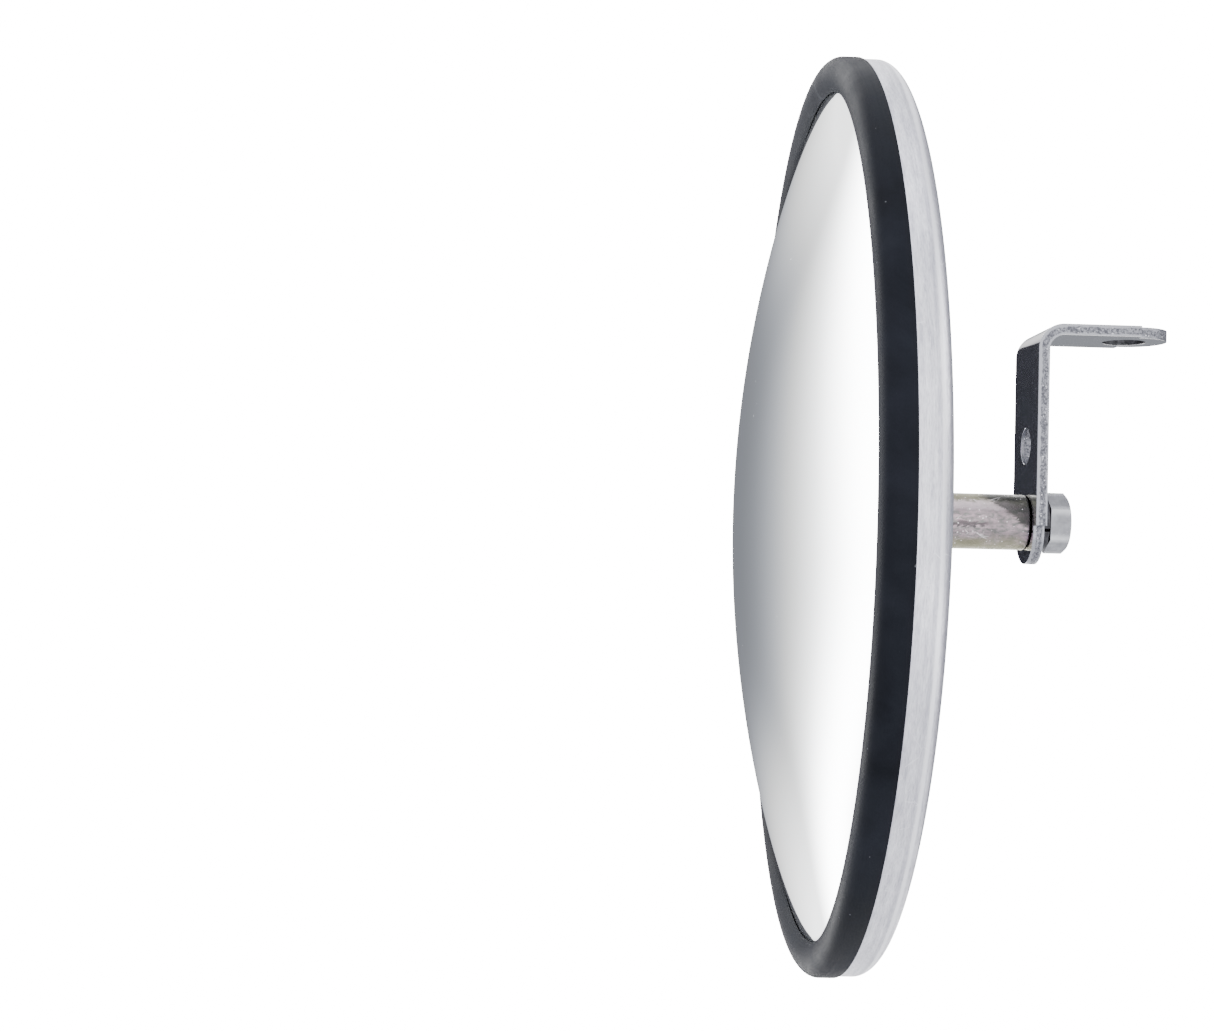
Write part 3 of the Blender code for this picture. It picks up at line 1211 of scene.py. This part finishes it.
@dataclass(frozen=True)
class WallBracket:
    """An L of flat bar with rounded ends, bent and drilled."""

    bench: Bench
    effects: Effects
    width: float = 0.032
    thickness: float = 0.004
    bend_radius: float = 0.009
    end_radius: float = 0.0125
    end_reach: float = 0.015
    shoulder: float = 0.0015
    flange_hole: float = 0.0075
    bolt_hole: float = 0.0065
    spare_rise: float = 0.0275
    edge: float = 0.00035
    cut_face: float = 0.5
    wall_reach: float = 0.0005

    @property
    def bolt_z(self) -> float:
        """The height of the bolt's hole."""
        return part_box("wall_bracket")[0].z + self.end_reach

    def bar(self) -> Shape:
        """Return the bent bar before it is drilled."""
        low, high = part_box("wall_bracket")
        side = low.x
        bend_y = low.y + self.bend_radius
        bend = Vector((side, bend_y, high.z - self.bend_radius))
        pen = Pen(Vector((side, high.y, high.z)), Vector((1, 0, 0)))
        pen.line(Vector((side, bend_y, high.z)))
        pen.arc(bend, QUARTER, 24)
        pen.line(Vector((side, low.y, low.z)))
        pen.line(Vector((side, low.y + self.thickness, low.z)))
        pen.line(Vector((side, low.y + self.thickness, bend.z)))
        pen.arc(bend, -QUARTER, 24)
        pen.line(Vector((side, high.y, high.z - self.thickness)))
        pen.close()
        return pen.slab(Vector((high.x - low.x, 0, 0)))

    def end_waste(self, centre: Vector, outwards: Vector, through: Vector) -> Shape:
        """Return what is cut off a bar's end to leave a narrower round end.

        Args:
            centre: The hole's centre on one face.
            outwards: The way to the bar's end.
            through: The way through the bar.

        Returns:
            A closed solid that stands out on both sides.
        """
        across = Vector((1, 0, 0))
        start = centre - through * MARGIN
        side = across * (self.width / 2 + MARGIN)
        step = outwards * self.shoulder
        far = outwards * (self.end_reach + MARGIN)
        middle = start + outwards * (self.end_reach - self.end_radius)
        sign = 1 if across.cross(outwards).dot(through) > 0 else -1
        pen = Pen(middle + across * self.end_radius, through)
        pen.arc(middle, sign * math.pi, 64)
        pen.line(start - across * self.end_radius + step)
        pen.line(start - side + step)
        pen.line(start - side + far)
        pen.line(start + side + far)
        pen.line(start + side + step)
        pen.line(start + across * self.end_radius + step)
        pen.close()
        return pen.slab(through * (self.thickness + 2 * MARGIN))

    def drill(self, centre: Vector, through: Vector, radius: float) -> Shape:
        """Return a round cutter.

        Args:
            centre: The hole's centre on one face.
            through: The way through the bar.
            radius: The hole's radius.

        Returns:
            A closed cylinder that stands out on both sides.
        """
        shape = bmesh.new()
        length = self.thickness + 2 * MARGIN
        middle = centre + through * (self.thickness / 2)
        turn = Vector((0, 0, 1)).rotation_difference(through).to_matrix().to_4x4()
        bmesh.ops.create_cone(shape, cap_ends=True, segments=96, radius1=radius,
                              radius2=radius, depth=length,
                              matrix=Matrix.Translation(middle) @ turn)
        return shape

    def mark_cut_faces(self, shape: Shape) -> None:
        """Give the sheared edges the second material and the flange's hole the third."""
        low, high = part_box("wall_bracket")
        for face in shape.faces:
            middle = face.calc_center_median()
            normal = face.normal
            on_leg = middle.z < high.z - self.bend_radius
            on_flange = middle.y > low.y + self.bend_radius
            skin = abs(normal.y) if on_leg else abs(normal.z) if on_flange else 1.0
            if abs(normal.x) > self.cut_face or skin < self.cut_face:
                face.material_index = 1
                hole = Vector((middle.x, middle.y - high.y + self.end_reach))
                # The flange hole's wall takes the third material, a dark finish that paints the
                # shade inside the hole.
                if on_flange and hole.length < self.flange_hole + self.wall_reach:
                    face.material_index = 2

    def build(self) -> None:
        """Build, drill and dress the bracket."""
        low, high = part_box("wall_bracket")
        down, back = Vector((0, 0, -1)), Vector((0, 1, 0))
        bolt = Vector((0, low.y, self.bolt_z))
        spare = bolt - down * self.spare_rise
        flange = Vector((0, high.y - self.end_reach, high.z))
        shape = self.bar()
        for tool in (
            self.end_waste(bolt, down, back),
            self.end_waste(flange, back, down),
            self.drill(bolt, back, self.bolt_hole),
            self.drill(spare, back, self.bolt_hole),
            self.drill(flange, down, self.flange_hole),
        ):
            shape = carve(shape, tool, Carve.AWAY)
        bmesh.ops.dissolve_limit(shape, angle_limit=math.radians(0.5), verts=shape.verts,
                                 edges=shape.edges)
        self.mark_cut_faces(shape)
        sheared = ShearedEdge(self.effects, bend=(low.y + self.bend_radius,
                                                  high.z - self.bend_radius),
                              bend_radius=self.bend_radius, thickness=self.thickness)
        # The third material is painted shade for the inside of the flange's hole.
        self.bench.finish("bracket_bar", shape, Body.BRACKET, Slot.POLISHED,
                          ("wall_bracket",),
                          [PolishedPlate(self.effects).build(), sheared.build(),
                           SpringSteelAndHoleShade(self.effects, name="hole_wall_painted_shade").build()], self.edge)


# ---------------------------------------------------------------- bolts and washers

@dataclass(frozen=True)
class Fasteners:
    """The clamping bolt and its split washer, and the pair inside the pan."""

    bench: Bench
    effects: Effects
    axis_z: float
    flats: float = 0.019
    head_height: float = 0.0075
    head_chamfer: float = math.radians(30)
    head_turn: float = math.radians(-5)
    shank_radius: float = 0.006
    thread_root: float = 0.0051
    pitch: float = 0.00175
    tip_chamfer: float = 0.0011
    washer_radius: float = 0.0101
    washer_bore: float = 0.0063
    washer_rounding: float = 0.0003
    washer_split: float = math.radians(7)
    split_at: float = math.radians(20)

    def head(self, seat: float, top: float) -> Shape:
        """Return the hexagon head, its corners chamfered on top.

        Args:
            seat: The y of its under face.
            top: The y of its top face.

        Returns:
            A closed solid.
        """
        lathe = Lathe(self.axis_z)
        corner = self.flats / 2 / math.cos(math.pi / 6)
        flat_top = self.flats / 2 - 0.0002
        wide = corner + MARGIN
        fall = (wide - flat_top) * math.tan(self.head_chamfer)
        pen = lathe.pen(0, seat - MARGIN)
        lathe.lines(pen, (wide, seat - MARGIN), (wide, top - fall), (flat_top, top, 0.0004),
                    (0, top))
        dome = lathe.turn(pen, 144)
        block = lathe.rod(corner, seat, top, 6, self.head_turn)
        return carve(block, dome, Carve.COMMON)

    def thread(self, low: float, high: float) -> Shape:
        """Return a screwed rod.

        Args:
            low: Where the thread has to start along Y.
            high: Where it has to end.

        Returns:
            A closed solid, a pitch longer at each end.
        """
        steps = 48
        turns = math.ceil((high - low) / self.pitch) + 2
        start = low - self.pitch * 1.5
        shape = bmesh.new()
        chain = [
            shape.verts.new((radius, start + self.pitch * share, self.axis_z))
            for radius, share in (
                (self.thread_root, 0.0),
                (self.thread_root, 0.14),
                (self.shank_radius, 0.46),
                (self.shank_radius, 0.60),
                (self.thread_root, 0.92),
                (self.thread_root, 1.0),
            )
        ]
        edges = [shape.edges.new(pair) for pair in zip(chain, chain[1:])]
        bmesh.ops.spin(shape, geom=chain + edges, cent=(0, 0, self.axis_z), axis=TURN_AXIS,
                       dvec=(0, self.pitch / steps, 0), angle=math.tau * turns,
                       steps=steps * turns, use_duplicate=False)
        bmesh.ops.remove_doubles(shape, verts=shape.verts, dist=WELD)
        rim = [edge for edge in shape.edges if edge.is_boundary]
        bmesh.ops.holes_fill(shape, edges=rim)
        bmesh.ops.triangulate(shape, faces=[face for face in shape.faces
                                            if len(face.verts) > 4])
        bmesh.ops.recalc_face_normals(shape, faces=shape.faces)
        return shape

    def shank(self, tip: float, seat: float) -> Shape:
        """Return the threaded shank with its chamfered tip.

        Args:
            tip: The y of its free end.
            seat: The y of the head's under face.

        Returns:
            A closed solid that reaches into the head.
        """
        lathe = Lathe(self.axis_z)
        inside = seat + self.head_height / 3
        pen = lathe.pen(0, tip)
        lathe.lines(pen, (self.shank_radius - self.tip_chamfer, tip),
                    (self.shank_radius, tip + self.tip_chamfer), (self.shank_radius, inside),
                    (0, inside))
        return carve(self.thread(tip, inside), lathe.turn(pen, 96), Carve.COMMON)

    def build_bolt(self, material: Material) -> None:
        """Build the clamping bolt of a steel."""
        low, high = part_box("clamp_bolt")
        seat = high.y - self.head_height
        shape = carve(self.head(seat, high.y), self.shank(low.y, seat), Carve.JOIN)
        self.bench.finish("hexagon_bolt", shape, Body.BOLT, Slot.BOLT_STEEL,
                          ("clamp_bolt",), [material], 0.00018)

    def build_washer(self, material: Material) -> None:
        """Build the split spring washer of a steel."""
        low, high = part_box("clamp_lock_washer")
        lathe = Lathe(self.axis_z)
        pen = lathe.pen(self.washer_bore, (low.y + high.y) / 2)
        for depth, radii in ((low.y, (self.washer_bore, self.washer_radius)),
                             (high.y, (self.washer_radius, self.washer_bore))):
            lathe.lines(pen, *((radius, depth, self.washer_rounding) for radius in radii))
        pen.close()
        shape = pen.soften()
        bmesh.ops.contextual_create(shape, geom=shape.edges[:])
        bmesh.ops.spin(shape, geom=shape.faces[:] + shape.edges[:] + shape.verts[:],
                       cent=lathe.at(0, 0), axis=TURN_AXIS,
                       angle=math.tau - self.washer_split, steps=120, use_duplicate=False)
        bmesh.ops.rotate(shape, cent=lathe.at(0, 0), verts=shape.verts,
                         matrix=Matrix.Rotation(self.split_at, 3, "Y"))
        bmesh.ops.recalc_face_normals(shape, faces=shape.faces)
        self.bench.finish("spring_washer", shape, Body.WASHER, Slot.SPRING_STEEL,
                          ("clamp_lock_washer",), [material])

    def build(self) -> None:
        """Build the outer pair and dress the inner one."""
        steel = BoltSteel(self.effects, self.axis_z).build()
        spring = SpringSteelAndHoleShade(self.effects, self.axis_z).build()
        self.build_bolt(steel)
        self.build_washer(spring)
        self.bench.dress("inner_bolt", steel)
        self.bench.dress("inner_lock_washer", spring)


# ---------------------------------------------------------------- the studio

@dataclass(frozen=True)
class Rise:
    """How the light in front grows away from the horizon."""

    most: float
    full_at: float
    power: float


@dataclass(frozen=True)
class Studio:
    """A plain pale floor, soft lights, a dark flag and the camera."""

    azimuth: float = math.radians(81.76)
    elevation: float = math.radians(-2.0)
    distance: float = 0.640
    lens: float = 52.58
    pan: float = math.radians(6.65)
    tilt: float = math.radians(0.10)
    roll: float = math.radians(1.25)
    floor_drop: float = 0.62
    floor_size: float = 3.4
    least: float = -3.0
    span: float = 7.0
    lift_below: float = 0.60
    lift_above: float = 0.25
    lift_most: float = 0.14
    rise_above: Rise = Rise(2.8, 0.36, 3.0)
    rise_below: Rise = Rise(3.6, -0.30, 2.2)
    shade_tint: Triple = (0.92, 0.965, 1.07)
    pole_light: Triple = (1.5, 1.52, 1.58)
    backdrop: Triple = (17.0, 17.0, 17.0)
    flag_x: float = -0.172
    flag_width: float = 0.046
    flag_gap: float = 0.0012
    stops_by_bearing: tuple[tuple[float, float], ...] = (
        (-180, -0.6), (-140, -0.9), (-108, -1.25), (-95, -1.9), (-82, -1.9), (-74, -1.4),
        (-67.4, -0.64), (-60.8, 0.36), (-54.2, 1.7), (-48.7, 3.25), (-44, 4.0), (-38, 4.0),
        (-30, 1.5), (-15, 0.3), (30, -0.1), (70, 0.5), (85, 1.3), (98, 1.8), (112, 1.5),
        (140, 0.3), (180, -0.6),
    )

    def build_camera(self, target: Vector) -> None:
        """Aim the camera.

        Args:
            target: The point that its distance is measured from.
        """
        sin_a, cos_a = math.sin(self.azimuth), math.cos(self.azimuth)
        sin_e, cos_e = math.sin(self.elevation), math.cos(self.elevation)
        back = Vector((sin_a * cos_e, -cos_a * cos_e, sin_e))
        right = Vector((cos_a, sin_a, 0))
        place = target + back * self.distance
        turned_right = right * math.cos(self.pan) - back * math.sin(self.pan)
        turned_back = right * math.sin(self.pan) + back * math.cos(self.pan)
        up = turned_back.cross(turned_right)
        final_up = up * math.cos(self.tilt) - turned_back * math.sin(self.tilt)
        final_back = up * math.sin(self.tilt) + turned_back * math.cos(self.tilt)
        cos_r, sin_r = math.cos(self.roll), math.sin(self.roll)
        x_axis = turned_right * cos_r + final_up * sin_r
        y_axis = final_up * cos_r - turned_right * sin_r
        data = bpy.data.cameras.new("camera")
        data.lens = self.lens
        data.sensor_width = 36.0
        data.clip_start = 0.01
        camera = set_down("camera", data)
        turn = Matrix((x_axis, y_axis, final_back)).transposed().to_4x4()
        camera.matrix_world = Matrix.Translation(place) @ turn
        bpy.context.scene.camera = camera

    def stand(self, name: str, place: Matrix, cuts: int, colour: Triple, rough: float
              ) -> tuple[bpy.types.Object, Graph]:
        """Stand a flat sheet in the set.

        Args:
            name: Its name.
            place: What takes a square of one metre to the sheet.
            cuts: How many squares it has each way.
            colour: Its colour.
            rough: Its roughness.

        Returns:
            The sheet and its material's graph.
        """
        shape = bmesh.new()
        bmesh.ops.create_grid(shape, x_segments=cuts, y_segments=cuts, size=0.5, matrix=place)
        sheet = set_down(name, to_mesh(name, shape))
        material = bpy.data.materials.new(name + "_paint")
        material.use_nodes = True
        shader = material.node_tree.nodes["Principled BSDF"]
        shader.inputs["Base Color"].default_value = (*colour, 1)
        shader.inputs["Roughness"].default_value = rough
        sheet.data.materials.append(material)
        return sheet, Graph(material.node_tree)

    def build_floor(self) -> None:
        """Lay a pale floor well below the mirror, fading out at its rim."""
        size = self.floor_size
        level = CAD_BOX[0][2] - self.floor_drop
        place = Matrix.Translation((0, 0, level)) @ Matrix.Diagonal((size, size, 1, 1))
        _, graph = self.stand("floor", place, 8, (0.80, 0.80, 0.80), 0.7)
        flat = graph.vector("MULTIPLY", graph.stretched((1, 1, 1)), (1, 1, 0))
        fade = graph.ease(graph.vector("LENGTH", flat), size / 2, size / 2 * 0.45)
        graph.feed(graph.tree.nodes["Principled BSDF"].inputs["Alpha"], fade)

    def build_flag(self, bottom: float, top: float) -> None:
        """Hang a dark flag beside the head for the leg's polished face to reflect.

        Args:
            bottom: The z of its lower edge.
            top: The z of its upper edge.
        """
        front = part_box("back_pan")[1].y + self.flag_gap
        middle = Vector((self.flag_x, front + self.flag_width / 2, (bottom + top) / 2))
        place = (Matrix.Translation(middle) @ Matrix.Rotation(QUARTER, 4, "Y")
                 @ Matrix.Diagonal((top - bottom, self.flag_width, 1, 1)))
        flag, _ = self.stand("flag", place, 2, (0.0080, 0.0092, 0.0155), 0.9)
        flag.visible_camera = False
        flag.visible_shadow = False
        flag.visible_diffuse = False

    def build_world(self) -> None:
        """Surround the set with soft light: bright in front and above, dim to one side."""
        world = bpy.data.worlds.new("studio")
        bpy.context.scene.world = world
        world.use_nodes = True
        graph = Graph(world.node_tree)
        way = graph.add("ShaderNodeTexCoord").outputs["Generated"]
        east, north, up = graph.split(way)
        share = graph.math("ARCTAN2", east, north * -1.0) / math.tau + 0.5
        lift = up * up * graph.ease(up, -0.02, 0.02, self.lift_below, self.lift_above)
        share = share + graph.math("MINIMUM", lift, self.lift_most)
        ramp = graph.add("ShaderNodeValToRGB")
        ramp.color_ramp.interpolation = "B_SPLINE"
        marks = ramp.color_ramp.elements
        while len(marks) < len(self.stops_by_bearing):
            marks.new(0.5)
        for mark, (degrees, stops) in zip(marks, self.stops_by_bearing):
            mark.position = degrees / 360 + 0.5
            value = (stops - self.least) / self.span
            mark.color = (value, value, value, 1)
        graph.feed(ramp.inputs["Fac"], share)
        stops = Value(graph, ramp.outputs["Color"]) * self.span + self.least
        strength = graph.math("POWER", 2.0, stops)
        in_front = graph.ease(share, 0.208, 0.256)
        for rise in (self.rise_above, self.rise_below):
            height = graph.math("MAXIMUM", up / rise.full_at, 0.0)
            curve = graph.math("POWER", graph.math("MINIMUM", height, 1.0), rise.power)
            strength = graph.math("SMOOTH_MAX", strength, curve * rise.most * in_front, 0.5)
        tint = graph.blend(graph.ease(strength, 0.2, 1.4), self.shade_tint, (1, 1, 1))
        level = graph.vector("SCALE", tint, scale=strength)
        above = graph.blend(graph.ease(up, 0.45, 0.95), level, self.pole_light)
        below = graph.blend(graph.ease(up, -0.30, -0.75), above, self.pole_light)
        seen = graph.add("ShaderNodeLightPath").outputs["Is Camera Ray"]
        background = world.node_tree.nodes["Background"]
        graph.feed(background.inputs["Color"], graph.blend(seen, below, self.backdrop))
        background.inputs["Strength"].default_value = 1.0

    def build_lights(self, centre: Vector) -> None:
        """Hang two large soft lights.

        Args:
            centre: What they point at.
        """
        for name, place, size, watts in (
            ("overhead", Vector((0.3, -0.2, 1.7)), 1.6, 10.0),
            ("behind", Vector((0.6, 1.6, 0.7)), 1.2, 5.0),
        ):
            data = bpy.data.lights.new(name, "AREA")
            data.shape = "DISK"
            data.size = size
            data.energy = watts
            lamp = set_down(name, data)
            lamp.location = centre + place
            lamp.rotation_euler = place.to_track_quat("Z", "Y").to_euler()
            lamp.visible_camera = False

    def build(self, target: Vector) -> None:
        """Build the studio round a point of the head's axis."""
        self.build_camera(target)
        self.build_floor()
        self.build_flag(target.z - 0.035, target.z + 0.11)
        self.build_world()
        self.build_lights(target)


# ---------------------------------------------------------------- all of it


def main() -> None:
    """Build the mirror, its bracket and the studio."""
    logging.basicConfig(level=logging.INFO, format="%(name)s: %(message)s")
    bench = Bench()
    effects = Effects()
    head = MirrorHead(bench, effects)
    Studio().build(Vector((0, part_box("mirror_dome")[1].y, head.axis_z)))
    head.build()
    WallBracket(bench, effects).build()
    Fasteners(bench, effects, head.axis_z).build()


if __name__ == "__main__":
    main()
